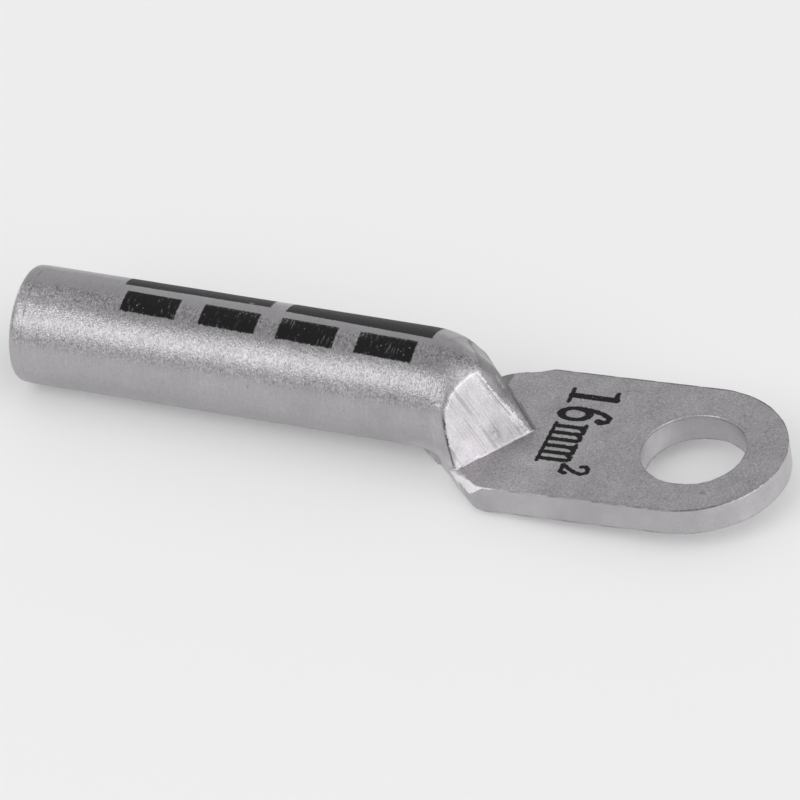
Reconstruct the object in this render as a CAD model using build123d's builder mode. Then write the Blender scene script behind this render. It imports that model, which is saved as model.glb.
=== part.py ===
from build123d import *
from math import atan2, cos, degrees, radians, sin
import os

os.makedirs("parts", exist_ok=True)

# ---------------------------------------------------------------------------
# Aluminium cable lug for a 16 mm2 conductor: a solid round bar, bored from one
# end for the cable and pressed flat at the other end into a palm with a bolt
# hole.  One piece of metal.  Millimetres and degrees.
#
# The lug is laid out in its own barrel system: x along the barrel axis with
# x = 0 in the mouth of the barrel, y across, z up from the axis.  That system
# is set into the row frame by the way the lug lies on a table: on the lower
# edge of the barrel's mouth and on the heel under the shoulder.
# ---------------------------------------------------------------------------

# barrel
barrel_d = 10.0            # outside diameter
mouth_break = 0.30         # chamfer round the mouth, outside
bore_d = 6.0               # cable bore
bore_depth = 30.0          # straight wall of the bore
bore_point = 118.0         # angle of the drill point at the bottom of the bore
bore_break = 0.25          # chamfer round the mouth, inside
barrel_run = 36.30         # plain round length before the shoulder begins

# palm
palm_pitch = 2.95          # the palm rises towards its tip by this angle
palm_width = 15.90
palm_thk = 2.53
hole_d = 8.8               # clearance for an M8 bolt
hole_break = 0.13
hole_x = 58.94             # hole centre, on the top face
hole_z = -2.182
tip_along = 8.26           # the rounded end is a half ellipse, nearly a circle
tip_u = -0.342             # its centre, from the hole, along the palm
palm_break = 0.16          # small rounding of the top and bottom edges

# nose: two steep flats meet in a ridge whose rounding grows with height
ridge_x = 44.94            # foot of the ridge on the palm
ridge_z = -2.90
ridge_lean = 0.449         # the ridge leans back, mm per mm of height
flat_dx = 0.6230           # direction of the foot of each flat, in plan
flat_dy = 0.7822
ridge_grow = 0.29          # radius of the ridge, mm per mm of height

# shoulder: the crown of the bar rolls over towards the ridge
crown_x = 36.40            # where the roll begins
crown_drop = 3.5           # its centre lies this far under the barrel axis

# flare: behind the flats the bar widens towards the corners of the palm
flare_back = 33.89         # its back flats stand at 45 degrees: |y| = x - this
flare_lean = 25.0          # and its flanks lean out from the barrel by this angle

# corners of the palm, seen from above: (along, across) from the hole
lip = ((-14.90, 7.95), (-16.37, 7.66), (-18.98, 6.37), (-21.30, 4.20))
wall = ((-15.60, 7.95), (-16.50, 7.72), (-17.45, 7.20), (-19.15, 5.50), (-21.30, 3.10), (-22.10, 2.85))

# heel under the shoulder
heel_x = 37.00             # where the underside of the palm ends

# ---------------------------------------------------------------------------
# how the lug lies
# ---------------------------------------------------------------------------
pitch = radians(palm_pitch)


def palm_bottom_z(x):
    """height of the palm's underside, barrel system, at station x"""
    return hole_z + (x - hole_x) * sin(pitch) / cos(pitch) - palm_thk / cos(pitch)


r_barrel = barrel_d / 2
rest_angle = atan2(-r_barrel - palm_bottom_z(heel_x), heel_x - mouth_break)

row_x = -33.4694           # mouth centre in the row frame
row_z = 4.9918

axis_dir = Vector(cos(rest_angle), 0, sin(rest_angle))
up_dir = Vector(-sin(rest_angle), 0, cos(rest_angle))
mouth = Vector(row_x, 0, row_z)


def at(x, y, z):
    """a point of the barrel system in the row frame"""
    return mouth + axis_dir * x + Vector(0, 1, 0) * y + up_dir * z


def across(x):
    """plane square to the barrel at station x; its own x is y, its y is z"""
    return Plane(origin=at(x, 0, 0), x_dir=(0, 1, 0), z_dir=axis_dir)


def level(z):
    """plane along the barrel at height z"""
    return Plane(origin=at(0, 0, z), x_dir=axis_dir, z_dir=up_dir)


palm_dir = axis_dir * cos(pitch) + up_dir * sin(pitch)
palm_up = up_dir * cos(pitch) - axis_dir * sin(pitch)
palm_top = Plane(origin=at(hole_x, 0, hole_z), x_dir=palm_dir, z_dir=palm_up)
palm_under = palm_top.offset(-palm_thk)

bar_half = palm_width / 2

# ---------------------------------------------------------------------------
# what the pressing leaves of the bar's crown: a bend of the same round section
# ---------------------------------------------------------------------------
keep_y = 4.70
keep_z = (r_barrel ** 2 - keep_y ** 2) ** 0.5
bend_axis = Axis(at(crown_x, 0, -crown_drop), (0, 1, 0))

with BuildPart() as crown:
    with BuildSketch(across(crown_x)):
        with BuildLine():
            ThreePointArc((-keep_y, keep_z), (0, r_barrel), (keep_y, keep_z))
            Polyline((keep_y, keep_z), (9, keep_z), (9, -crown_drop), (-9, -crown_drop),
                     (-9, keep_z), (-keep_y, keep_z))
        make_face()
    revolve(axis=bend_axis, revolution_arc=90)
    with BuildSketch(across(crown_x)):
        with Locations((0, -6)):
            Rectangle(18, 2 * (6 - crown_drop))
    extrude(amount=12)
    with BuildSketch(across(-2)):
        Rectangle(18, 18)
    extrude(amount=crown_x + 2)

# ---------------------------------------------------------------------------
# flare behind the flats
# ---------------------------------------------------------------------------
lean = radians(flare_lean)


def flank_y(z):
    return (r_barrel + 0.03 - z * sin(lean)) / cos(lean)


with BuildPart() as flare:
    with BuildSketch(level(-4.6)):
        Polygon((flare_back + 3.0, 3.0), (flare_back + 8.0, 8.0), (46.0, 8.0),
                (46.0, -8.0), (flare_back + 8.0, -8.0), (flare_back + 3.0, -3.0), align=None)
    extrude(amount=6.6)
    with BuildSketch(across(34.0)):
        Polygon((flank_y(2.0), 2.0), (flank_y(-4.6), -4.6), (-flank_y(-4.6), -4.6),
                (-flank_y(2.0), 2.0), align=None)
    extrude(amount=14, mode=Mode.INTERSECT)

# ---------------------------------------------------------------------------
# palm: a flat tongue with a rounded end, a lip at each rear corner where the
# flats have pushed the metal out, and the heel behind
# ---------------------------------------------------------------------------
lip_low = (-18.40, 6.10, -1.45)     # where the underside of the lip meets the wall

with BuildPart() as palm:
    with BuildSketch(palm_top):
        with BuildLine():
            EllipticalCenterArc((tip_u, 0), tip_along, bar_half, start_angle=-90, arc_size=180)
            Polyline((tip_u, bar_half), *wall)
            Line(wall[-1], (wall[-1][0], -wall[-1][1]))
            Polyline(*[(u, -v) for u, v in reversed(wall)], (tip_u, -bar_half))
        make_face()
    extrude(amount=-palm_thk)
    # outer edges rounded along the sides and round the tip
    rims = palm.faces().sort_by(Axis(palm_top.origin, palm_up))
    fillet(rims[-1].edges() + rims[0].edges(), radius=palm_break)
    # the lips at the rear corners
    for side in (1, -1):
        q1 = Vector(lip[2][0], side * lip[2][1], 0)
        q2 = Vector(lip[1][0], side * lip[1][1], 0)
        q3 = Vector(lip_low[0], side * lip_low[1], lip_low[2])
        out = (q2 - q1).cross(q3 - q1).normalized() * side
        mid = (q1 + q2) * 0.5
        with BuildSketch(palm_top):
            Polygon((lip[0][0], 0), *[(u, side * v) for u, v in lip], (lip[3][0], 0), align=None)
        wedge = extrude(amount=-2.0, mode=Mode.PRIVATE)
        under_lip = Plane(origin=palm_top.from_local_coords(q1),
                          x_dir=palm_top.from_local_coords(q2) - palm_top.from_local_coords(q1),
                          z_dir=palm_top.from_local_coords(out) - palm_top.origin)
        add(split(wedge, bisect_by=under_lip, keep=Keep.BOTTOM, mode=Mode.PRIVATE))
    # the foot of the heel slopes up to the barrel
    with BuildSketch(Plane(origin=at(heel_x, 0, palm_bottom_z(heel_x)), x_dir=(0, 1, 0),
                           z_dir=(axis_dir * -0.768 + up_dir * -0.640))):
        Rectangle(30, 4)
    extrude(amount=4, mode=Mode.SUBTRACT)
    # bolt hole, with its edges broken
    with BuildSketch(palm_top.offset(1)):
        Circle(hole_d / 2)
    extrude(amount=-(palm_thk + 2), mode=Mode.SUBTRACT)
    hole_rims = palm.edges().filter_by(GeomType.CIRCLE).filter_by(
        lambda e: abs(e.radius - hole_d / 2) < 0.01)
    chamfer(hole_rims, length=hole_break)

with BuildPart() as lug:
    # the bar
    with BuildSketch(across(0)):
        Circle(r_barrel)
    extrude(amount=46.0)
    add(flare.part)

    # the two flats and the rounded ridge between them
    for z in (-8.0, ridge_z, 8.0):
        apex = ridge_x - (z - ridge_z) * ridge_lean
        rad = max(ridge_grow * (z - ridge_z), 0.04)
        tan_len = rad * flat_dx / flat_dy          # from the sharp corner to the tangent point
        tx, ty = apex - tan_len * flat_dx, tan_len * flat_dy
        cx = apex - rad / flat_dy                  # centre of the rounding
        far = (apex - 13.0 * flat_dx, 13.0 * flat_dy)
        with BuildSketch(level(z)):
            with BuildLine():
                ThreePointArc((tx, -ty), (cx + rad, 0), (tx, ty))
                Polyline((tx, ty), far, (-3, far[1]), (-3, -far[1]), (far[0], -far[1]), (tx, -ty))
            make_face()
    loft(ruled=True, mode=Mode.INTERSECT)
    add(crown.part, mode=Mode.INTERSECT)
    add(palm.part)

    # cable bore with its drill point
    with BuildSketch(Plane(origin=at(0, 0, 0), x_dir=axis_dir, z_dir=(0, -1, 0))):
        with BuildLine():
            r = bore_d / 2
            tipx = bore_depth + r / (sin(radians(bore_point / 2)) / cos(radians(bore_point / 2)))
            Polyline((-1, 0), (tipx, 0), (bore_depth, r), (bore_break, r),
                     (0, r + bore_break), (-1, r + bore_break), (-1, 0))
        make_face()
    revolve(axis=Axis(at(0, 0, 0), axis_dir), mode=Mode.SUBTRACT)

    # outer edge of the mouth broken
    mouth_edge = lug.edges().filter_by(GeomType.CIRCLE).filter_by(
        lambda e: abs(e.radius - r_barrel) < 0.01).sort_by(Axis.X)[0]
    chamfer(mouth_edge, length=mouth_break)

lug.part.label = "lug"
export_step(lug.part, "parts/lug.step")
bb = lug.part.bounding_box()
print("rest angle", round(degrees(rest_angle), 4), "box", bb.min, bb.max, "volume", round(lug.part.volume, 1),
      "solids", len(lug.part.solids()), "valid", lug.part.is_valid)
print("cable bore middle", at((bore_depth + bore_break) / 2, 0, 0), "axis out of the mouth", axis_dir * -1)
print("bolt hole middle", palm_top.origin - palm_up * (palm_thk / 2), "axis", palm_up)
print("palm underside", palm_under.origin, "normal", palm_up * -1)
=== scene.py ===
import math
import bpy
import numpy as np
from mathutils import Matrix, Vector


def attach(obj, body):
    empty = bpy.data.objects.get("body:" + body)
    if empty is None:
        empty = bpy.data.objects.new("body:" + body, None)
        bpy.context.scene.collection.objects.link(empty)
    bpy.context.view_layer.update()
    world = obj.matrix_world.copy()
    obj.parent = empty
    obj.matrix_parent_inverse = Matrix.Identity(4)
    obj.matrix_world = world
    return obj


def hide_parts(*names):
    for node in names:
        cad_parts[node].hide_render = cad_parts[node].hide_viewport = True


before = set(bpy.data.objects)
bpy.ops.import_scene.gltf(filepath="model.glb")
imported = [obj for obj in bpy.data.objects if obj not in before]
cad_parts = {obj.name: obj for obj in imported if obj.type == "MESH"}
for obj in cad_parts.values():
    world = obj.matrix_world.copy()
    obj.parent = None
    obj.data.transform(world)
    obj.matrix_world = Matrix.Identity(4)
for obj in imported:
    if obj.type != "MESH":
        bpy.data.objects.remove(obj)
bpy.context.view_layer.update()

# ---------------------------------------------------------------- frame
# Lengths of the lug are in millimetres in its own system: x runs along the barrel from the
# mouth, z up from the barrel's axis, y across. The row frame is in metres and tilted by REST.
MOUTH = np.array([-33.4694, 0.0, 4.9918])
REST = math.radians(1.3205)
AX = np.array([math.cos(REST), 0.0, math.sin(REST)])
AY = np.array([0.0, 1.0, 0.0])
AZ = np.array([-math.sin(REST), 0.0, math.cos(REST)])


def to_row(P):
    """Points in the lug's system, mm, to the row frame, m."""
    P = np.asarray(P, float)
    return (MOUTH + P[..., :1] * AX + P[..., 1:2] * AY + P[..., 2:3] * AZ) / 1000.0


# ---------------------------------------------------------------- seeded noise for the relief
class Lattice:
    """Smooth value noise on a repeating lattice, the same on every run."""

    def __init__(self, seed, n=32):
        self.t = np.random.default_rng(seed).uniform(-1, 1, (n, n, n))
        self.n = n

    def __call__(self, x, y, z):
        n = self.n
        ix, iy, iz = np.floor(x), np.floor(y), np.floor(z)
        fx, fy, fz = x - ix, y - iy, z - iz
        ix, iy, iz = ix.astype(int) % n, iy.astype(int) % n, iz.astype(int) % n
        jx, jy, jz = (ix + 1) % n, (iy + 1) % n, (iz + 1) % n
        fx, fy, fz = (f * f * (3 - 2 * f) for f in (fx, fy, fz))
        t = self.t
        a = t[ix, iy, iz] * (1 - fx) + t[jx, iy, iz] * fx
        b = t[ix, jy, iz] * (1 - fx) + t[jx, jy, iz] * fx
        c = t[ix, iy, jz] * (1 - fx) + t[jx, iy, jz] * fx
        d = t[ix, jy, jz] * (1 - fx) + t[jx, jy, jz] * fx
        return (a * (1 - fy) + b * fy) * (1 - fz) + (c * (1 - fy) + d * fy) * fz


NOISE_A, NOISE_B, NOISE_C = Lattice(11), Lattice(23), Lattice(37)

# ---------------------------------------------------------------- the lug's form
XO = 24.39                      # from the mouth to the middle of the barrel's marks
PITCH = math.radians(2.953)     # palm against the barrel
THICK = 2.533                   # palm
HX, HZ = 34.55, -2.182          # hole's centre on the palm's upper face
CP, SP = math.cos(PITCH), math.sin(PITCH)
# how far the crown is rounded into the ridge, across the lug
CROWN = ([-5.0, -4.3, -3.5, -2.4, -1.25, 0.0, 1.2, 2.2, 3.5, 4.5, 5.4], [2.2, 2.5, 2.9, 2.2, 0.6, 1.7, 2.8, 3.3, 2.5, 1.3, 0.15])
BEND = [12.0, 23.0]
FLARE = [9.49, 9.55, 9.44, 0.20, 1.41, 5.02, 12.12, 9.11]
# the palm's far edge beside the shoulder: along the barrel, and out from its middle
FAR_EDGE = ([10.0, 12.8, 14.2, 15.54, 16.08, 16.8, 17.5, 18.3, 19.64, 22.0], [1.6, 4.1, 5.3, 6.42, 6.75, 7.07, 7.24, 7.39, 8.02, 9.1])
# and the lower corner of its near edge
NEAR_LOW = ([11.0, 13.2, 14.08, 14.42, 14.74, 15.07, 15.49, 15.86, 16.59, 17.34, 20.0], [0.3, 1.9, 3.28, 3.72, 4.25, 4.78, 5.34, 5.80, 6.52, 7.25, 9.83])


def smooth_table(xs, ys, width):
    """The same curve without its corners."""
    g = np.linspace(xs[0] - 2.0, xs[-1] + 2.0, 241)
    v = np.interp(g, xs, ys)
    k = np.exp(-0.5 * ((g[:, None] - g) / width) ** 2)
    return g, (k @ v) / k.sum(1)


CROWN_ROLL = smooth_table(*CROWN, 0.40)
FAR_SIDE = smooth_table(*FAR_EDGE, 0.22)
NEAR_SIDE = smooth_table(*NEAR_LOW, 0.15)


def smax(a, b, k):
    h = np.maximum(k - np.abs(a - b), 0) / k
    return np.maximum(a, b) + h * h * k * 0.25


def smin(a, b, k):
    return -smax(-a, -b, k)


def wedge(xf, y, z):
    """The two pressed flats that slope from the crown to the palm, and the rounded ridge between them. Also the
    ridge's front as a plane, and the distance round from the near flat's edge."""
    h = z + 2.9
    rad = np.hypot(0.29 * np.maximum(h, 0), 0.25)
    dx = xf - 20.55 + 0.449 * h + rad / 0.7822
    ay = np.abs(y)
    nx = np.where(y > 0, 0.758, 0.7822)
    ny = np.where(y > 0, 0.652, 0.6230)
    ridge = (ay * nx <= dx * ny) & (dx > 0)
    field = (np.where(ridge, np.hypot(dx, ay) - rad, dx * nx + ay * ny - rad) + 0.06 * np.clip(y, 0, 1)) * 0.943
    return field, ay * nx - dx * ny, (dx - rad) * 0.943


def form(x, y, z, parts=False):
    """Signed field of the whole lug, negative inside."""
    xf = x - XO
    ay = np.abs(y)
    r = np.hypot(y, z)
    # slow unevenness of the pressed and turned metal
    soft = 0.010 * NOISE_A(x / 3.1, y / 2.3, z / 2.3) + 0.006 * NOISE_B(x / 1.3, y / 1.1, z / 1.1)
    # barrel, drawn in a little at the mouth
    lead = 0.05 * np.clip((1.25 - x) / 1.25, 0, 1)
    # its top bends down towards the flats
    bend = np.clip(xf - BEND[0], 0, 6) ** 2 / BEND[1] * np.clip((z - 1.0) / 2.0, 0, 1)
    cyl = np.hypot(y, z + bend) - 5.0 + lead
    w = (xf - HX) * (-SP) + (z - HZ) * CP
    u = (xf - HX) * CP + (z - HZ) * SP
    q = np.interp(xf, [12.8, 13.5, 14.4, 15.2], [FLARE[0], FLARE[0], FLARE[1], FLARE[2]]) + np.clip(-2.5 - z, 0, 4) * FLARE[3]
    back = (ay - xf + q) * 0.7071
    flank = ay * 0.9063 + z * 0.4226 - FLARE[5]
    under = -w - THICK
    rear = -0.768 * (xf - FLARE[6]) - 0.640 * (z + 5)
    fl = np.maximum(smax(smax(smax(back, flank, 0.4), rear, 0.3), under, 0.2), z - 2.0)
    kk = np.clip(0.25 + 0.35 * (1.5 - z), 0.25, FLARE[4])
    rod = smin(cyl, fl, kk)
    wd, off, front = wedge(xf, y, z)
    roll = np.interp(y, *CROWN_ROLL)
    crest = smax(rod, front, roll)
    near = smax(crest, wd, 0.02 + 0.23 * np.clip(-y, 0, 1))
    far = smax(rod, wd, np.maximum(roll * np.clip((z + 1.5) / 2.5, 0, 1), 0.15))
    nose = np.where(y < 0, near, far)
    # palm
    du = u + 0.342
    ell = (np.sqrt((du / 8.26) ** 2 + (y / 7.97) ** 2) - 1) * 8.0
    side = np.where(du > 0, ell, ay - 7.97)
    wallc = (ay - np.interp(xf, *NEAR_SIDE) + 0.05 * (w + THICK)) * 0.718
    lp = np.maximum(-0.408 * xf + 0.861 * ay - 0.303 * z - 0.077 - 0.12 * np.clip(y, 0, 1), w)
    lp = np.maximum(lp, (ay - xf + FLARE[7] - 0.5 * (z + 3.16)) * 0.667)
    # the near edge ends in the flare
    ends = 0.40 * np.clip((15.35 - xf) / 0.7, 0, 1)
    wall = np.minimum(smax(side, wallc + ends, 0.7), smax(side, lp + ends, 0.5))
    wall = np.where(y > 0, smax(side, (ay - np.interp(xf, *FAR_SIDE)) * 0.86, 0.12), wall)
    wall = np.minimum(wall, np.maximum(ay - 2.95, xf - 14.5))
    slab = smax(smax(w, wall, 0.07), smax(under, rear, 0.25), 0.25)
    body = smin(nose, slab, 0.03) + soft
    body = smax(body, -x, 0.60)
    # conductor's bore with its drill point
    bore = 3.0 - r
    tip = ((3.02 - (x - 30.0) * 1.664) - np.hypot(r, 0.35)) * 0.515
    body = smax(body, np.where(x < 30.0, bore, tip), 0.25)
    # bolt hole
    hole = 4.42 - np.hypot(u, y)
    body = smax(body, hole, 0.14)
    # flattened a hair where it rests on the heel
    body = np.maximum(body, 0.003 - (MOUTH[2] + x * AX[2] + z * AZ[2]))
    if not parts:
        return body
    return dict(body=body, cyl=cyl, rod=rod, wedge=wd, off=off, nose=nose, slab=slab, w=w, u=u, crest=crest,
                wall=wall, under=under, rear=rear, hole=hole, lip=lp, side=side, wallc=wallc, r=r, xf=xf)


def steps(*spans):
    """Grid coordinates along one axis: (start, end, spacing), one span after the other."""
    out = []
    for a, b, h in spans:
        n = max(1, int(round((b - a) / h)))
        out.extend(a + (b - a) * np.arange(n) / n)
    out.append(spans[-1][1])
    return np.array(out)


def contour(f, grid, lam=0.03):
    """Meshes the surface f = 0 with quads: one corner in each grid cell that the surface passes, set where the
    planes of its crossings meet, so that flat faces stay flat and edges crisp."""
    n = np.array([len(g) for g in grid])
    F = np.empty(n)
    step = max(1, int(1_500_000 / (n[1] * n[2])))
    for i in range(0, n[0], step):
        X, Y, Z = np.meshgrid(grid[0][i:i + step], grid[1], grid[2], indexing="ij")
        F[i:i + step] = f(X, Y, Z)
    inside = F < 0
    nc = n - 1
    cells_all, P_all, N_all, quads = [], [], [], []
    pick = lambda I: np.stack([grid[c][I[:, c]] for c in range(3)], 1)
    e = 1e-3
    for ax in range(3):
        a0, a1 = [slice(None)] * 3, [slice(None)] * 3
        a0[ax], a1[ax] = slice(0, -1), slice(1, None)
        I = np.argwhere(inside[tuple(a0)] != inside[tuple(a1)])
        J = I.copy()
        J[:, ax] += 1
        fa, fb = F[tuple(I.T)].copy(), F[tuple(J.T)].copy()
        first = fa < 0
        P0, P1 = pick(I), pick(J)
        ta, tb = np.zeros(len(I)), np.ones(len(I))
        for it in range(7):
            t = ta + (tb - ta) * (np.clip(fa / (fa - fb), 0.1, 0.9) if it < 5 else fa / (fa - fb))
            P = P0 + (P1 - P0) * t[:, None]
            v = f(P[:, 0], P[:, 1], P[:, 2])
            left = (v < 0) == (fa < 0)
            ta, fa = np.where(left, t, ta), np.where(left, v, fa)
            tb, fb = np.where(left, tb, t), np.where(left, fb, v)
        t = ta + (tb - ta) * fa / (fa - fb)
        P = P0 + (P1 - P0) * t[:, None]
        N = slope(f, P, e)
        o = [c for c in range(3) if c != ax]
        ok = np.ones(len(I), bool)
        for c in o:
            ok &= (I[:, c] > 0) & (I[:, c] < n[c] - 1)
        I, P, N, first = I[ok], P[ok], N[ok], first[ok]
        cs = []
        for da, db in ((0, 0), (-1, 0), (-1, -1), (0, -1)):
            C = I.copy()
            C[:, o[0]] += da
            C[:, o[1]] += db
            c = (C[:, 0] * nc[1] + C[:, 1]) * nc[2] + C[:, 2]
            cs.append(c)
            cells_all.append(c)
            P_all.append(P)
            N_all.append(N)
        Q = np.stack(cs, 1)
        flip = (~first) if ax != 1 else first
        Q[flip] = Q[flip][:, ::-1]
        quads.append(Q)
    cells, P, N, Q = (np.concatenate(v) for v in (cells_all, P_all, N_all, quads))
    uc, inv = np.unique(cells, return_inverse=True)
    inv = inv.ravel()
    m = len(uc)
    cnt = np.bincount(inv, minlength=m).astype(float)
    mass = np.stack([np.bincount(inv, P[:, c], m) for c in range(3)], 1) / cnt[:, None]
    D = P - mass[inv]
    dn = (D * N).sum(1)
    A, B = np.zeros((m, 3, 3)), np.zeros((m, 3))
    for i in range(3):
        B[:, i] = np.bincount(inv, N[:, i] * dn, m)
        for j in range(i, 3):
            A[:, i, j] = A[:, j, i] = np.bincount(inv, N[:, i] * N[:, j], m)
    A /= cnt[:, None, None]
    B /= cnt[:, None]
    w, V = np.linalg.eigh(A)
    wi = np.where(w > lam, 1 / np.maximum(w, 1e-9), 0)
    X = mass + np.einsum("mij,mj,mkj,mk->mi", V, wi, V, B)
    idx = np.stack([uc // (nc[2] * nc[1]), (uc // nc[2]) % nc[1], uc % nc[2]], 1)
    low = pick(idx)
    high = pick(idx + 1)
    span = high - low
    X = np.clip(X, low - 0.02 * span, high + 0.02 * span)
    return unfold(f, X, mass, np.searchsorted(uc, Q))


def unfold(f, X, mass, Q):
    """The few quads that come out folded over: their corners go back towards the middle of their crossings."""
    for it in range(6):
        S = slope(f, X, 0.01)
        bad = np.zeros(len(X), bool)
        for tri in (Q[:, [0, 1, 2]], Q[:, [0, 2, 3]], Q[:, [0, 1, 3]], Q[:, [1, 2, 3]]):
            a, b, c = X[tri[:, 0]], X[tri[:, 1]], X[tri[:, 2]]
            n = np.cross(b - a, c - a)
            along = (n * S[tri].sum(1)).sum(1)
            bad[tri[along < 0.15 * np.linalg.norm(n, axis=1)]] = True
        X[bad] += 0.5 * (mass[bad] - X[bad])
    return X, Q


def slope(f, P, e=1e-3):
    N = np.empty_like(P)
    for c in range(3):
        d = np.zeros(3)
        d[c] = e
        A, B = P + d, P - d
        N[:, c] = f(A[:, 0], A[:, 1], A[:, 2]) - f(B[:, 0], B[:, 1], B[:, 2])
    return N / np.maximum(np.linalg.norm(N, axis=1), 1e-12)[:, None]


grid = [
    steps((-0.63, 1.6, 0.17), (1.6, 34.5, 0.42), (34.5, 38.0, 0.2), (38.0, 46.5, 0.155), (46.5, 67.3, 0.20)),
    steps((-8.55, 8.55, 0.19)),
    steps((-6.5, 5.5, 0.19)),
]
verts, quads = contour(form, grid)
print("mesh", len(verts), "corners", len(quads), "quads")

mesh = bpy.data.meshes.new("lug_body")
mesh.from_pydata(to_row(verts).tolist(), [], quads.tolist())
mesh.update()
mesh.polygons.foreach_set("use_smooth", np.ones(len(mesh.polygons), bool))
normals = slope(form, verts, 2e-3)
row_normals = normals[:, :1] * AX + normals[:, 1:2] * AY + normals[:, 2:3] * AZ
mesh.normals_split_custom_set_from_vertices(row_normals.tolist())
lug = bpy.data.objects.new("lug_body", mesh)
bpy.context.scene.collection.objects.link(lug)

parts = form(verts[:, 0], verts[:, 1], verts[:, 2], parts=True)


def note(name, values):
    a = mesh.attributes.new(name, "FLOAT", "POINT")
    a.data.foreach_set("value", np.asarray(values, np.float32))


note("flat_depth", np.clip(parts["wedge"] - parts["rod"], -2, 4))
note("flat_off", np.clip(parts["off"], -3, 5) * np.where(verts[:, 0] > 36, 1, 0))
note("flat_crest", np.clip(parts["wedge"] - parts["crest"], -2, 4))
note("palm_gap", np.clip(parts["slab"] - parts["nose"], -3, 3))
note("wall_lead", np.clip(parts["wall"] - np.maximum(parts["w"], parts["under"]), -2, 2))


# ---------------------------------------------------------------- node helpers
class Nodes:
    def __init__(self, material):
        material.use_nodes = True
        self.tree = material.node_tree
        self.tree.nodes.clear()

    def new(self, kind, **inputs):
        n = self.tree.nodes.new(kind)
        return n

    def put(self, socket, value):
        if isinstance(value, bpy.types.NodeSocket):
            self.tree.links.new(value, socket)
        else:
            socket.default_value = value

    def math(self, op, a, b=0.0, c=None, clamp=False):
        n = self.tree.nodes.new("ShaderNodeMath")
        n.operation = op
        n.use_clamp = clamp
        self.put(n.inputs[0], a)
        if op not in ("ABSOLUTE", "SQRT", "SINE", "COSINE", "FLOOR", "FRACT"):
            self.put(n.inputs[1], b)
        if c is not None:
            self.put(n.inputs[2], c)
        return n.outputs[0]

    def vec(self, op, a, b=(0, 0, 0), c=None):
        n = self.tree.nodes.new("ShaderNodeVectorMath")
        n.operation = op
        self.put(n.inputs[0], a)
        if op == "SCALE":
            self.put(n.inputs["Scale"], b)
        elif op not in ("LENGTH", "NORMALIZE", "ABSOLUTE"):
            self.put(n.inputs[1], b)
        if c is not None:
            self.put(n.inputs[2], c)
        return n.outputs["Value"] if op in ("DOT_PRODUCT", "LENGTH", "DISTANCE") else n.outputs["Vector"]

    def xyz(self, x=0.0, y=0.0, z=0.0):
        n = self.tree.nodes.new("ShaderNodeCombineXYZ")
        for s, v in zip(n.inputs, (x, y, z)):
            self.put(s, v)
        return n.outputs[0]

    def split(self, v):
        n = self.tree.nodes.new("ShaderNodeSeparateXYZ")
        self.put(n.inputs[0], v)
        return n.outputs

    def step(self, v, a, b, lo=0.0, hi=1.0, kind="SMOOTHSTEP"):
        """lo to hi as v goes from a to b, held outside."""
        n = self.tree.nodes.new("ShaderNodeMapRange")
        n.interpolation_type = kind
        n.clamp = True
        self.put(n.inputs[0], v)
        if b < a:
            a, b, lo, hi = b, a, hi, lo
        for s, x in zip(n.inputs[1:5], (a, b, lo, hi)):
            self.put(s, x)
        return n.outputs[0]

    def noise(self, v, scale=1.0, detail=2.0, rough=0.5, distortion=0.0, colour=False):
        n = self.tree.nodes.new("ShaderNodeTexNoise")
        n.noise_dimensions = "3D"
        self.put(n.inputs["Vector"], v)
        n.inputs["Scale"].default_value = scale
        n.inputs["Detail"].default_value = detail
        n.inputs["Roughness"].default_value = rough
        n.inputs["Distortion"].default_value = distortion
        return n.outputs["Color"] if colour else n.outputs[0]

    def attr(self, name):
        n = self.tree.nodes.new("ShaderNodeAttribute")
        n.attribute_name = name
        return n.outputs["Fac"]

    def mix(self, f, a, b):
        """a to b as f goes 0 to 1, numbers."""
        n = self.tree.nodes.new("ShaderNodeMix")
        n.data_type = "FLOAT"
        self.put(n.inputs[0], f)
        self.put(n.inputs[2], a)
        self.put(n.inputs[3], b)
        return n.outputs[0]

    def mixc(self, f, a, b):
        n = self.tree.nodes.new("ShaderNodeMix")
        n.data_type = "RGBA"
        self.put(n.inputs[0], f)
        self.put(n.inputs[6], a)
        self.put(n.inputs[7], b)
        return n.outputs[2]


# ---------------------------------------------------------------- the print
# Marks on the barrel, in x, mm, and in degrees round from its top, positive towards -Y.
SHORT_BARS = [(11.88, 2.48), (19.00, 2.53), (25.98, 2.55), (33.02, 2.56)]       # middle and half length
# The size mark on the palm, in the palm's own plane: across it towards -Y, then up towards the hole.
BASE = -12.78
RISE = 4.15          # numerals
LOWER = 2.80         # unit letters


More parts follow.
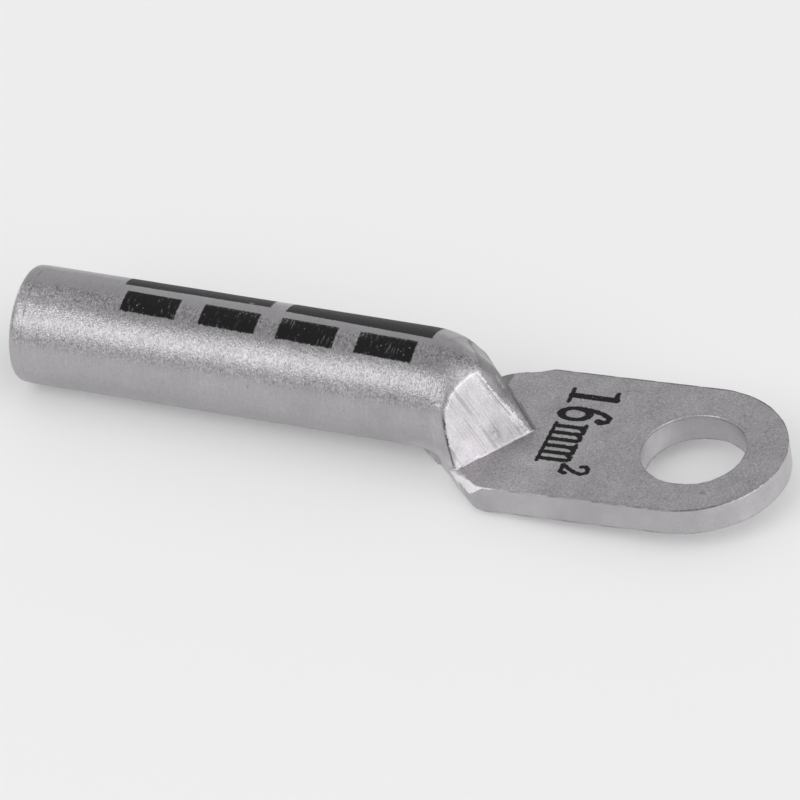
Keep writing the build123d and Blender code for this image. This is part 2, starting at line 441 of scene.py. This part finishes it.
def glyph_strokes():
    """The strokes of a plain size mark, each a start, an end and a half width, mm."""
    S = []

    def line(points, half):
        for p, q in zip(points[:-1], points[1:]):
            S.append((p, q, half))

    one, foot = -5.00, BASE + 0.22
    line([(one, foot + 0.1), (one + 0.10, foot + RISE - 0.1)], 0.31)
    line([(one - 0.80, foot + 0.02), (one + 0.84, foot + 0.08)], 0.17)
    line([(one + 0.16, foot + RISE), (one - 0.34, foot + RISE - 0.20), (one - 0.72, foot + RISE - 0.20)], 0.20)
    six = -2.66
    line([(six - 0.72, BASE + 1.3), (six - 0.66, BASE + 2.6), (six - 0.36, BASE + 3.75), (six + 0.10, BASE + RISE + 0.36),
          (six + 0.60, BASE + RISE + 0.30), (six + 0.84, BASE + RISE - 0.26)], 0.23)
    line([(six + 0.60, BASE + 3.65), (six + 0.68, BASE + 3.85)], 0.30)
    foot = BASE + 0.20
    for left in (-0.96, 1.58):
        a, b, c = left, left + 0.85, left + 1.70
        for p in (a, b, c):
            line([(p, foot + 0.05), (p, foot + LOWER - 0.25)], 0.215)
            line([(p - 0.36, foot + 0.04), (p + 0.36, foot + 0.04)], 0.15)
        line([(a - 0.36, foot + LOWER - 0.10), (a + 0.02, foot + LOWER - 0.05)], 0.16)
        for p, q in ((a, b), (b, c)):
            line([(p + 0.05, foot + LOWER - 0.50), (p + 0.36, foot + LOWER - 0.08), (q - 0.12, foot + LOWER - 0.06), (q, foot + LOWER - 0.40)], 0.19)
    two = 4.26
    top = BASE + 5.04
    line([(two - 0.42, top - 0.78), (two - 0.50, top - 0.40), (two - 0.18, top - 0.08), (two + 0.24, top - 0.08),
          (two + 0.50, top - 0.50), (two + 0.32, top - 1.15), (two - 0.10, top - 1.85), (two - 0.48, top - 2.36),
          (two + 0.42, top - 2.34), (two + 0.56, top - 1.90)], 0.18)
    return S


# ---------------------------------------------------------------- the metal
def metal(zone):
    """The same aluminium on the barrel, the shoulder and the palm, each with its own marks and its own painted light
    and shade.
    """
    m = bpy.data.materials.new("lug_aluminium_" + zone)
    barrel, shoulder, blade = zone == "barrel", zone == "shoulder", zone == "palm"
    N = Nodes(m)
    t = N.tree
    out = t.nodes.new("ShaderNodeOutputMaterial")
    bsdf = t.nodes.new("ShaderNodeBsdfPrincipled")
    t.links.new(bsdf.outputs[0], out.inputs[0])
    mul, add, sub, lo_, hi_ = (lambda a, b: N.math("MULTIPLY", a, b)), (lambda a, b: N.math("ADD", a, b)), \
        (lambda a, b: N.math("SUBTRACT", a, b)), (lambda a, b: N.math("MINIMUM", a, b)), (lambda a, b: N.math("MAXIMUM", a, b))
    ab = lambda a: N.math("ABSOLUTE", a)
    inv = lambda a: sub(1.0, a)
    centred = lambda v, k: mul(sub(v, 0.5), 2 * k)      # noise of 0 to 1 as about -k to k

    def total(first, *rest):
        for v in rest:
            first = add(first, v)
        return first

    co = t.nodes.new("ShaderNodeTexCoord")
    d = N.vec("SUBTRACT", co.outputs["Object"], tuple(MOUTH / 1000))
    x = N.vec("DOT_PRODUCT", d, tuple(AX * 1000))
    y = N.vec("DOT_PRODUCT", d, tuple(AY * 1000))
    z = N.vec("DOT_PRODUCT", d, tuple(AZ * 1000))
    P = N.xyz(x, y, z)
    r = N.vec("LENGTH", N.xyz(0.0, y, z))
    # round the barrel, 5 mm times the direction from its axis, so that a noise has no seam
    ry, rz = mul(N.math("DIVIDE", y, hi_(r, 0.5)), 5.0), mul(N.math("DIVIDE", z, hi_(r, 0.5)), 5.0)
    angle = mul(N.math("ARCTAN2", mul(y, -1.0), z), 180 / math.pi)
    xf = sub(x, XO)
    u = add(mul(sub(xf, HX), CP), mul(sub(z, HZ), SP))
    w = add(mul(sub(xf, HX), -SP), mul(sub(z, HZ), CP))

    def noise(size, detail=1.0, rough=0.5, shift=(0.0, 0.0, 0.0), at=None):
        """Noise with cells of a size in mm, or of one size for each direction."""
        v = P if at is None else at
        if isinstance(size, tuple):
            v = N.vec("MULTIPLY", v, tuple(1 / k for k in size))
        else:
            v = N.vec("SCALE", v, 1 / size)
        if any(shift):
            v = N.vec("ADD", v, shift)
        return N.noise(v, 1.0, detail, rough)

    def blot(point, radius, soft=0.5, squash=(1.0, 1.0, 1.0)):
        """1 inside a ball round a point of the lug, mm, 0 outside."""
        q = N.vec("MULTIPLY", N.vec("SUBTRACT", P, point), squash)
        return N.step(N.vec("LENGTH", q), radius, radius * (1 - soft))

    depth, off, gap, lead = N.attr("flat_depth"), N.attr("flat_off"), N.attr("palm_gap"), N.attr("wall_lead")
    round_bar = N.xyz(x, ry, rz)
    salt = noise(0.135, 1.0, 0.6)
    if barrel:
        # the turned metal's specks run a little round the bar
        pepper = noise((0.105, 0.20, 0.20), 1.0, 0.6, (31.0, 7.0, 19.0), at=round_bar)
    else:
        pepper = noise(0.14, 1.0, 0.6, (31.0, 7.0, 19.0))
    grit = noise(0.30, 2.0, 0.6)
    broad = noise(2.2, 3.0, 0.55)
    slow = noise(7.0, 1.0, 0.5)

    # which surface this is, 0 to 1
    near = rim = ridge = crown = deck = wall = palm = bar = bored = 0.0
    if barrel:
        bar = 1.0
    if blade:
        palm = 1.0
        wall = N.step(lead, -0.10, 0.02)
        bored = mul(N.step(N.vec("LENGTH", N.xyz(u, y, 0.0)), 4.58, 4.48), N.step(w, -0.06, -0.16))
        deck = inv(hi_(wall, bored))
    if shoulder:
        beyond = mul(add(add(y, mul(xf, 1.45)), -23.5), 1 / 1.76)       # past the crease across the crown, mm
        on_nose = N.step(gap, 0.0, 0.10)
        flats = mul(N.step(add(depth, add(centred(grit, 0.30), centred(salt, 0.10))), 0.02, 0.14), on_nose)
        edge_off = sub(off, N.step(z, 3.4, 2.2, 0.0, 0.16))
        near = mul(flats, N.step(add(edge_off, add(centred(grit, 0.30), centred(salt, 0.24))), -0.05, 0.10))
        rim = mul(near, N.step(add(edge_off, centred(grit, 0.30)), 1.10, 0.25))      # along the ridge
        ridge = mul(mul(N.step(depth, -0.3, 0.0), on_nose), inv(near))
        crown = mul(mul(N.step(add(beyond, centred(grit, 0.20)), -0.06, 0.06), inv(near)), mul(on_nose, N.step(z, 0.0, 1.0)))
        palm = N.step(gap, 0.02, -0.06)
        wall = mul(palm, N.step(lead, -0.10, 0.02))
        deck = mul(palm, inv(wall))
        bar = mul(mul(N.step(x, 43.5, 40.0), inv(palm)), inv(flats))

    # relief. Barrel: fine turned lines round it, and grain
    if not blade:
        short_lines = noise((0.15, 0.42, 0.42), 1.0, 0.6, at=round_bar)
        long_lines = noise((0.16, 2.8, 2.8), 2.0, 0.6, at=round_bar)
        height = total(mul(short_lines, 0.95), mul(salt, 0.75), mul(long_lines, 0.40))
    if shoulder:
        plain_h = total(mul(salt, 0.85), mul(grit, 0.45))
        height = N.mix(mul(bar, N.step(x, 41.0, 38.5)), plain_h, height)
    if not barrel:
        # the palm's matt grain, and faint marks along its cut edge
        wall_h = total(mul(noise((1.8, 1.8, 0.14), 1.0, 0.55), 0.18), mul(salt, 0.16))
        height = wall_h if blade else N.mix(wall, height, wall_h)
        height = N.mix(deck, height, total(mul(salt, 0.36), mul(grit, 0.40)))
    if shoulder:
        # drawn lines along the ridge
        height = N.mix(near, height, total(mul(noise((8.0, 0.15, 5.0), 2.0, 0.6), 0.36), mul(salt, 0.17)))
    bump = t.nodes.new("ShaderNodeBump")
    bump.inputs["Strength"].default_value = 1.0
    bump.inputs["Distance"].default_value = 0.000032
    N.put(bump.inputs["Height"], height)

    # ---- print
    ink = long_ink = 0.0
    if not shoulder:
        # pale specks where the ink missed the pits
        specks = t.nodes.new("ShaderNodeTexVoronoi")
        N.put(specks.inputs["Vector"], N.vec("SCALE", P, 1 / 0.36))
        specks.inputs["Scale"].default_value = 1.0
        pale = mul(N.step(specks.outputs["Distance"], 0.26, 0.12), N.step(noise(0.9, 1.0, 0.5, (5.0, 5.0, 5.0)), 0.46, 0.66))
    if barrel:
        rag = noise((0.13, 0.34, 0.34), 2.0, 0.7, at=round_bar)
        streak = noise((0.15, 1.0, 1.0), 2.0, 0.6, at=round_bar)
        a1 = sub(angle, mul(sub(x, 22.0), 0.25))
        bars = None
        for xc, half in SHORT_BARS:
            v = sub(ab(sub(x, xc)), half)
            bars = v if bars is None else lo_(bars, v)
        band_top = mul(sub(-0.6, a1), 0.0873)                    # above this angle is outside, mm
        band_low = mul(sub(a1, 25.2), 0.0873)
        short = hi_(add(bars, centred(salt, 0.10)), hi_(add(band_top, centred(rag, 0.06)), add(band_low, centred(rag, 0.26))))
        short_ink = N.step(short, 0.05, -0.05)
        worn = mul(N.step(streak, 0.56, 0.74), N.step(noise(2.0, 2.0, 0.5, (3.0, 9.0, 1.0)), 0.40, 0.64))
        # the corners of the last two bars are rubbed
        rubbed = None
        for xc, half in SHORT_BARS[2:]:
            v = mul(mul(N.step(sub(x, xc - half), 1.1, 0.0), N.step(sub(x, xc - half), -0.6, -0.3)), N.step(a1, 9.0, -1.0))
            rubbed = v if rubbed is None else hi_(rubbed, v)
        rubbed = hi_(rubbed, mul(mul(N.step(a1, 2.6, -0.4), N.step(x, 16.0, 17.0)), 0.55))
        rubbed = mul(rubbed, N.step(add(salt, mul(streak, 0.6)), 0.78, 1.0))
        short_ink = mul(short_ink, inv(hi_(rubbed, hi_(mul(pale, 0.50), mul(worn, 0.34)))))
        long1 = hi_(sub(ab(sub(add(x, mul(add(angle, 14.0), -0.008)), 15.33)), 6.53), mul(add(angle, 13.7), 0.0873))
        edge2 = add(-10.5, mul(sub(x, 23.3), 0.47))
        long2 = hi_(sub(ab(sub(x, 29.92)), 6.62), mul(sub(angle, edge2), 0.0873))
        long_all = hi_(lo_(long1, long2), mul(sub(-46.0, angle), 0.0873))
        long_ink = N.step(add(long_all, centred(salt, 0.10)), 0.04, -0.04)
        long_ink = mul(long_ink, inv(mul(blot((20.1, 1.36, 4.81), 0.34, 0.7, (1.0, 1.5, 1.0)), 0.40)))
        long_ink = mul(long_ink, inv(mul(pale, 0.12)))
        ink = mul(hi_(short_ink, long_ink), mul(N.step(r, 4.3, 4.5), N.step(x, 37.6, 37.3)))
    if blade:
        # size mark
        g = N.xyz(add(mul(y, -1.0), centred(noise(0.20, 2.0, 0.7, (2.0, 0.0, 0.0)), 0.13)),
                  add(u, centred(noise(0.20, 2.0, 0.7, (40.0, 9.0, 3.0)), 0.13)), 0.0)
        mark = None
        for p, q, half in glyph_strokes():
            e = np.array([q[0] - p[0], q[1] - p[1], 0.0])
            pa = N.vec("SUBTRACT", g, (p[0], p[1], 0.0))
            k = N.vec("DOT_PRODUCT", pa, tuple(e / (e @ e)))
            k = N.math("MULTIPLY", k, 1.0, clamp=True)
            rest = N.vec("SUBTRACT", pa, N.vec("SCALE", tuple(e), k))
            dist = sub(N.vec("LENGTH", rest), half)
            mark = dist if mark is None else lo_(mark, dist)
        # the bowl of the six
        six = N.vec("MULTIPLY", N.vec("SUBTRACT", g, (-2.66, BASE + 1.42, 0.0)), (1 / 0.72, 1 / 1.22, 0.0))
        mark = lo_(mark, sub(mul(ab(sub(N.vec("LENGTH", six), 1.0)), 0.88), 0.25))
        ink = mul(N.step(mark, 0.075, -0.01), mul(N.step(w, -0.30, -0.20), N.step(x, 42.0, 43.0)))
        ink = mul(ink, inv(mul(pale, 0.18)))

    # ---- colour
    turned = 0.16
    if not blade:
        turned = hi_(N.step(ab(sub(angle, 14.0)), 13.0, 5.0, 0.16, 1.00), hi_(N.step(ab(sub(angle, 64.0)), 10.0, 3.0, 0.16, 0.72),
                 N.step(ab(sub(angle, 42.0)), 26.0, 16.0, 0.16, 0.56)))
    grain = turned if barrel else N.mix(deck, 0.10 if blade else N.mix(wall, turned, 0.12), 0.52)
    if shoulder:
        grain = N.mix(near, N.mix(crown, grain, 0.10), 0.24)
    tone = total(1.0, mul(centred(pepper, 1.0), grain), mul(centred(grit, 0.5), grain), centred(broad, 0.11 if barrel else 0.20), centred(slow, 0.08))
    if not blade:
        streaks = centred(noise((0.16, 1.6, 1.6), 2.0, 0.65, (9.0, 2.0, 4.0), at=round_bar), 1.0)
        tone = add(tone, mul(mul(streaks, add(0.06, mul(turned, 0.30))), bar))
    if not blade:
        # painted shade: a little darker past its top
        tone = mul(tone, inv(mul(N.step(angle, -11.0, -22.0), 0.16 if barrel else 0.28)))
    if shoulder:
        # more painted shade on the shoulder, from just past its top
        tone = mul(tone, inv(mul(mul(N.step(angle, -3.0, -12.0), N.step(x, 36.0, 38.0)), 0.17)))
    if not blade:
        # painted light: the neck's lower side is brighter, as if lit from below
        heel_painted_light = mul(N.step(z, -1.2, -3.4), N.step(x, 33.5, 36.3))
        if shoulder:
            heel_painted_light = mul(heel_painted_light, mul(inv(palm), inv(flats)))
        tone = mul(tone, add(1.0, mul(heel_painted_light, 0.34)))
    # small pits
    tone = mul(tone, inv(mul(N.step(noise(0.20, 1.0, 0.5, (7.0, 1.0, 3.0)), 0.27, 0.19), 0.35)))

    def darker(mask, k):
        return mul(tone, inv(mul(mask, k)))

    if shoulder:
        # flat: fine drawn scratches, the brighter speckled rim, a long scratch, a smudge
        across = N.xyz(0.0, add(y, mul(z, 0.08)), 0.0)
        fine_line = N.step(noise(0.16, 1.0, 0.6, (0.3, 4.0, 0.7), at=across), 0.54, 0.66)
        broken = N.step(noise((3.0, 0.7, 2.4), 1.0, 0.5, (8.0, 4.0, 2.0)), 0.40, 0.58)
        tone = darker(mul(mul(fine_line, broken), near), 0.26)
        tone = add(tone, mul(centred(noise(0.5, 2.0, 0.6, (0.9, 2.0, 0.1), at=across), 0.13), near))
        tone = mul(tone, add(1.0, mul(rim, add(0.15, centred(salt, 0.62)))))
        along = N.math("MULTIPLY", add(z, 0.96), 1 / 3.72, clamp=True)          # 0 at its lower end
        long_scratch = ab(sub(y, add(-0.90, mul(along, -0.43))))
        scratch = mul(mul(N.step(long_scratch, 0.072, 0.012), N.step(ab(sub(z, 0.9)), 1.95, 1.75)), near)
        tone = darker(mul(scratch, N.mix(along, 1.0, 0.45)), 0.50)
        smudge = mul(blot((XO + 18.13, -2.40, -1.75), 1.05, 0.8, (1.0, 1.2, 0.8)), N.step(grit, 0.30, 0.62))
        tone = darker(mul(smudge, near), 0.34)
        # painted shadow in the seam where the flat's lower left edge was pressed over, with a rough patch beside it
        seam_shadow = mul(N.step(ab(sub(add(depth, centred(grit, 0.14)), 0.02)), 0.14, 0.03), on_nose)
        seam_shadow = mul(seam_shadow, mul(N.step(z, 1.7, 1.0), N.step(z, -3.2, -2.7)))
        seam_shadow = mul(mul(seam_shadow, N.step(noise((1.0, 1.0, 0.9), 1.0, 0.5, (6.0, 6.0, 1.0)), 0.30, 0.55)), N.step(off, 2.2, 3.0))
        tone = darker(seam_shadow, 0.66)
        patch = mul(mul(blot((XO + 15.46, -5.92, -1.95), 0.55, 0.3, (1.0, 1.0, 0.55)), near), N.step(grit, 0.30, 0.50))
        tone = darker(patch, 0.26)
        # ridge: painted shade beside the flat, with dark speckle in it, fading towards the palm
        shade_and_speckle = mul(mul(ridge, N.step(z, 2.6, 1.0)), N.step(add(off, centred(grit, 0.35)), -1.5, -0.1))
        shade_and_speckle = mul(shade_and_speckle, N.step(y, 1.2, 0.2))
        tone = mul(tone, inv(mul(shade_and_speckle, add(0.26, centred(pepper, 0.55)))))
        # crown: a fine crease across it, painted as a line of shade; beyond it smoother, with painted shade that makes
        # it a little darker
        crease_shade = mul(mul(N.step(ab(add(beyond, centred(grit, 0.12))), 0.085, 0.02), inv(near)), mul(on_nose, N.step(z, 1.8, 2.6)))
        tone = darker(mul(crease_shade, N.step(y, 2.6, 1.0)), 0.22)
        tone = darker(crown, N.step(y, 0.2, 2.0, 0.26, 0.40))
        # painted highlight, speckled, beside the flat's upper corner
        glow = mul(mul(blot((39.5, -2.1, 4.2), 1.5, 0.8), inv(near)), inv(crown))
        tone = mul(tone, add(1.0, mul(glow, add(0.30, centred(salt, 0.40)))))
        # painted shade: the flat's upper edge is a little darker, dimming the highlight of its rounding
        brow_shade = mul(N.step(ab(N.attr("flat_crest")), 0.20, 0.04), mul(N.step(z, 1.6, 2.2), N.step(off, -0.15, 0.15)))
        tone = darker(mul(mul(brow_shade, on_nose), N.step(y, 0.0, -0.6)), 0.20)
    if barrel:
        # mouth: the drawn-in band ends in a faint broken groove, painted as a line of shade that is stronger on the
        # upper side, with a nick
        outside = N.step(r, 4.3, 4.5)
        groove_shade = mul(N.step(ab(sub(x, add(1.22, centred(noise((9.0, 1.2, 1.2), 1.0, 0.5), 0.10)))), 0.10, 0.02), outside)
        tone = darker(mul(groove_shade, N.step(noise((9.0, 0.7, 0.7), 2.0, 0.6, (2.0, 3.0, 1.0)), 0.36, 0.56)), N.step(angle, 70.0, 55.0, 0.10, 0.27))
        tone = darker(blot((1.25, -3.02, 3.99), 0.34, 0.6, (1.5, 0.7, 0.7)), 0.22)
        # painted highlight: brighter near the mouth on the barrel's upper side
        glint = mul(N.step(x, 12.0, 2.5), mul(N.step(angle, 7.0, 19.0), N.step(angle, 42.0, 32.0)))
        tone = mul(tone, add(1.0, mul(mul(glint, outside), 0.36)))
    if not barrel:
        # palm: broken pale burr along the near edge of its top; further on, painted shade that dims the highlight of
        # its rounding
        edge = mul(N.step(ab(add(lead, 0.02)), 0.13, 0.03), mul(palm, N.step(ab(add(w, 0.05)), 0.20, 0.10)))
        burr_and_shade_breaks = N.step(noise((0.5, 0.5, 0.5), 2.0, 0.6, (1.0, 2.0, 3.0)), 0.48, 0.58)
        tone = mul(tone, add(1.0, mul(mul(mul(edge, burr_and_shade_breaks), N.step(u, -8.5, -11.0)), 0.12)))
        # painted shade along the edge
        tone = darker(mul(edge, mul(N.step(u, -15.4, -14.6), N.step(u, 6.5, 3.5))), 0.42)
        # painted light: lighter beside the shoulder, where the shoulder shades the palm
        tone = mul(tone, add(1.0, mul(mul(deck, N.step(u, -10.0, -14.5)), mul(N.step(y, -1.2, -4.5), 0.34))))
        # more painted shade in the gaps between the burr bits
        tone = darker(mul(mul(edge, inv(burr_and_shade_breaks)), N.step(u, -6.0, -3.5)), 0.35)
        # painted light: the sheared lip beside the heel is brightened, as if lit by the pale floor
        lip = N.step(add(sub(w, mul(add(u, 15.8), 0.93)), centred(grit, 0.14)), -0.05, 0.08)
        lip = mul(mul(lip, N.step(w, -1.75, -1.45)), mul(N.step(lead, -0.06, 0.03), N.step(gap, 0.06, -0.06)))
        lip = mul(lip, N.step(y, -1.0, -2.5))
        tone = mul(tone, add(1.0, mul(lip, 1.10)))
    if blade:
        # the edge is brighter towards the tip
        tone = mul(tone, add(1.0, mul(mul(wall, N.step(u, 2.0, 7.0)), 0.18)))
        # painted light: the hole's far left wall is brighter
        hole_painted_light = mul(mul(N.step(w, -0.10, -0.30), N.step(u, -2.0, -4.0)), N.step(N.vec("LENGTH", N.xyz(u, y, 0.0)), 4.75, 4.6))
        tone = mul(tone, add(1.0, mul(hole_painted_light, 0.40)))
        # a hairline and a blotch
        hair = mul(N.step(ab(sub(add(y, 6.34), mul(add(u, 0.40), -0.63))), 0.055, 0.01), N.step(ab(add(u, 0.4)), 0.50, 0.40))
        tone = darker(mul(hair, deck), 0.30)
        tone = darker(mul(blot((XO + 37.12, -5.21, -2.05), 0.34, 0.7), N.step(grit, 0.35, 0.5)), 0.35)

    shade = 0.45
    if not barrel:
        shade = N.mix(deck, N.mix(wall, 0.47, 0.48), 0.50)
    if shoulder:
        shade = N.mix(near, shade, 0.51)
    metal_col = N.vec("SCALE", (1.0, 0.967, 1.004), mul(shade, tone))
    rough = 0.30 if barrel else N.mix(deck, N.mix(wall, 0.30, 0.34), 0.40)
    if shoulder:
        rough = N.mix(near, N.mix(ridge, N.mix(crown, rough, 0.38), 0.42), 0.30)
    rough = add(rough, centred(grit, 0.06))
    if shoulder:
        N.put(bsdf.inputs["Base Color"], metal_col)
        bsdf.inputs["Metallic"].default_value = 1.0
        N.put(bsdf.inputs["Roughness"], rough)
    else:
        ink_col = N.mixc(long_ink, (0.006, 0.0055, 0.006, 1), (0.020, 0.020, 0.021, 1)) if barrel else (0.006, 0.0055, 0.006, 1)
        N.put(bsdf.inputs["Base Color"], N.mixc(ink, metal_col, ink_col))
        N.put(bsdf.inputs["Metallic"], inv(ink))
        N.put(bsdf.inputs["Roughness"], N.mix(ink, rough, 0.50))
        bsdf.inputs["Specular IOR Level"].default_value = 0.22
    N.put(bsdf.inputs["Normal"], bump.outputs["Normal"])
    return m


ZONES = ("barrel", "shoulder", "palm")
for zone in ZONES:
    lug.data.materials.append(metal(zone))
q_x = verts[quads][:, :, 0]
q_gap = (parts["slab"] - parts["nose"])[quads]
which = np.where(q_x.max(1) < 38.0, 0, np.where((q_gap.max(1) < -0.08) & (q_x.min(1) > 40.6), 2, 1))
mesh.polygons.foreach_set("material_index", which.astype(np.int32))
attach(lug, "root")
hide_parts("lug")

# ---------------------------------------------------------------- floor, light, camera
def plain(name, colour, rough):
    m = bpy.data.materials.new(name)
    m.use_nodes = True
    b = m.node_tree.nodes["Principled BSDF"]
    b.inputs["Base Color"].default_value = (*colour, 1)
    b.inputs["Roughness"].default_value = rough
    b.inputs["Specular IOR Level"].default_value = 0.0
    return m


floor_mesh = bpy.data.meshes.new("floor")
s = 6.0
floor_mesh.from_pydata([(-s, -s, 0), (s, -s, 0), (s, s, 0), (-s, s, 0)], [], [(0, 1, 2, 3)])
floor = bpy.data.objects.new("floor", floor_mesh)
bpy.context.scene.collection.objects.link(floor)
floor.data.materials.append(plain("floor_pale", (0.90, 0.90, 0.90), 0.9))

SKY = (0.60, 0.44)              # up to the height of the far wall, overhead
GLOW = 0.60
world = bpy.data.worlds.new("studio")
bpy.context.scene.world = world
world.use_nodes = True
wt = world.node_tree
bg = wt.nodes["Background"]
W = Nodes.__new__(Nodes)
W.tree = wt
around = wt.nodes.new("ShaderNodeTexCoord").outputs["Generated"]
level = W.step(W.split(around)[2], 0.62, 0.88, *SKY, "LINEAR")
# a broad soft glow high on the palm's side
glow = W.vec("DOT_PRODUCT", around, tuple(Vector((0.76, -0.20, 0.62)).normalized()))
level = W.math("ADD", level, W.step(glow, 0.70, 0.93, 0.0, GLOW))
wt.links.new(level, bg.inputs["Strength"])
bg.inputs["Color"].default_value = (1.0, 1.0, 1.0, 1)


def softbox(name, direction, distance, width, height, power, aim=(0.0, 0.0, 0.004)):
    """An area light of width by height, in metres, looking at the lug from a direction in the row frame."""
    d = Vector(direction).normalized()
    light = bpy.data.lights.new(name, "AREA")
    light.shape = "RECTANGLE"
    light.size, light.size_y = width, height
    light.energy = power
    o = bpy.data.objects.new(name, light)
    o.location = Vector(aim) + d * distance
    o.rotation_mode = "QUATERNION"
    o.rotation_quaternion = (-d).to_track_quat("-Z", "Y")
    bpy.context.scene.collection.objects.link(o)
    return o


# name, direction, distance, width, height, radiance
LIGHTS = [
    ("key", (-0.36, -0.65, 0.70), 1.3, 0.85, 0.92, 1.20),
    ("side", (0.95, -0.30, 0.10), 1.2, 0.55, 0.40, 1.84),
]
for name, direction, distance, width, height, radiance in LIGHTS:
    softbox(name, direction, distance, width, height, radiance * math.pi * width * height)
# a panel straight above that lifts the floor only
floor_light = softbox("floor_light", (0.0, 0.0, 1.0), 2.2, 1.8, 1.8, 1.05 * math.pi * 1.8 * 1.8)
floor_light.visible_glossy = False
floor_light.data.use_shadow = False

# camera, from the fit to the photo's outline, in the barrel's own system
F_PX, DIST = 9824.457, 817.15
CXP, CYP = 300.0, 365.948


def look(az, el, turn):
    a, e = math.radians(az), math.radians(el)
    back = np.array([math.sin(a) * math.cos(e), -math.cos(a) * math.cos(e), math.sin(e)])
    fwd = -back
    right = np.cross(fwd, [0, 0, 1])
    right /= np.linalg.norm(right)
    down = np.cross(fwd, right)
    c, s = math.cos(math.radians(turn)), math.sin(math.radians(turn))
    return np.array([[c, -s, 0], [s, c, 0], [0, 0, 1]]) @ np.stack([right, down, fwd])


view = look(25.101, 39.215, -7.285)
shift = np.array([(CXP - 400) / F_PX * DIST, (CYP - 400) / F_PX * DIST, DIST])
eye = -view.T @ shift + np.array([XO, 0, 0])     # the lug's system, mm
turn = np.stack([AX, AY, AZ], 1)
R = turn @ np.stack([view[0], -view[1], -view[2]], 1)
cam = bpy.data.cameras.new("camera")
cam.sensor_width = 36.0
cam.lens = F_PX * 36.0 / 800.0
cam.clip_start, cam.clip_end = 0.05, 20.0
camera = bpy.data.objects.new("camera", cam)
M = Matrix([[*R[i], to_row(eye)[i]] for i in range(3)] + [[0, 0, 0, 1]])
camera.matrix_world = M
bpy.context.scene.collection.objects.link(camera)
bpy.context.scene.camera = camera
bpy.context.scene.view_settings.view_transform = "Standard"
bpy.context.scene.view_settings.look = "None"
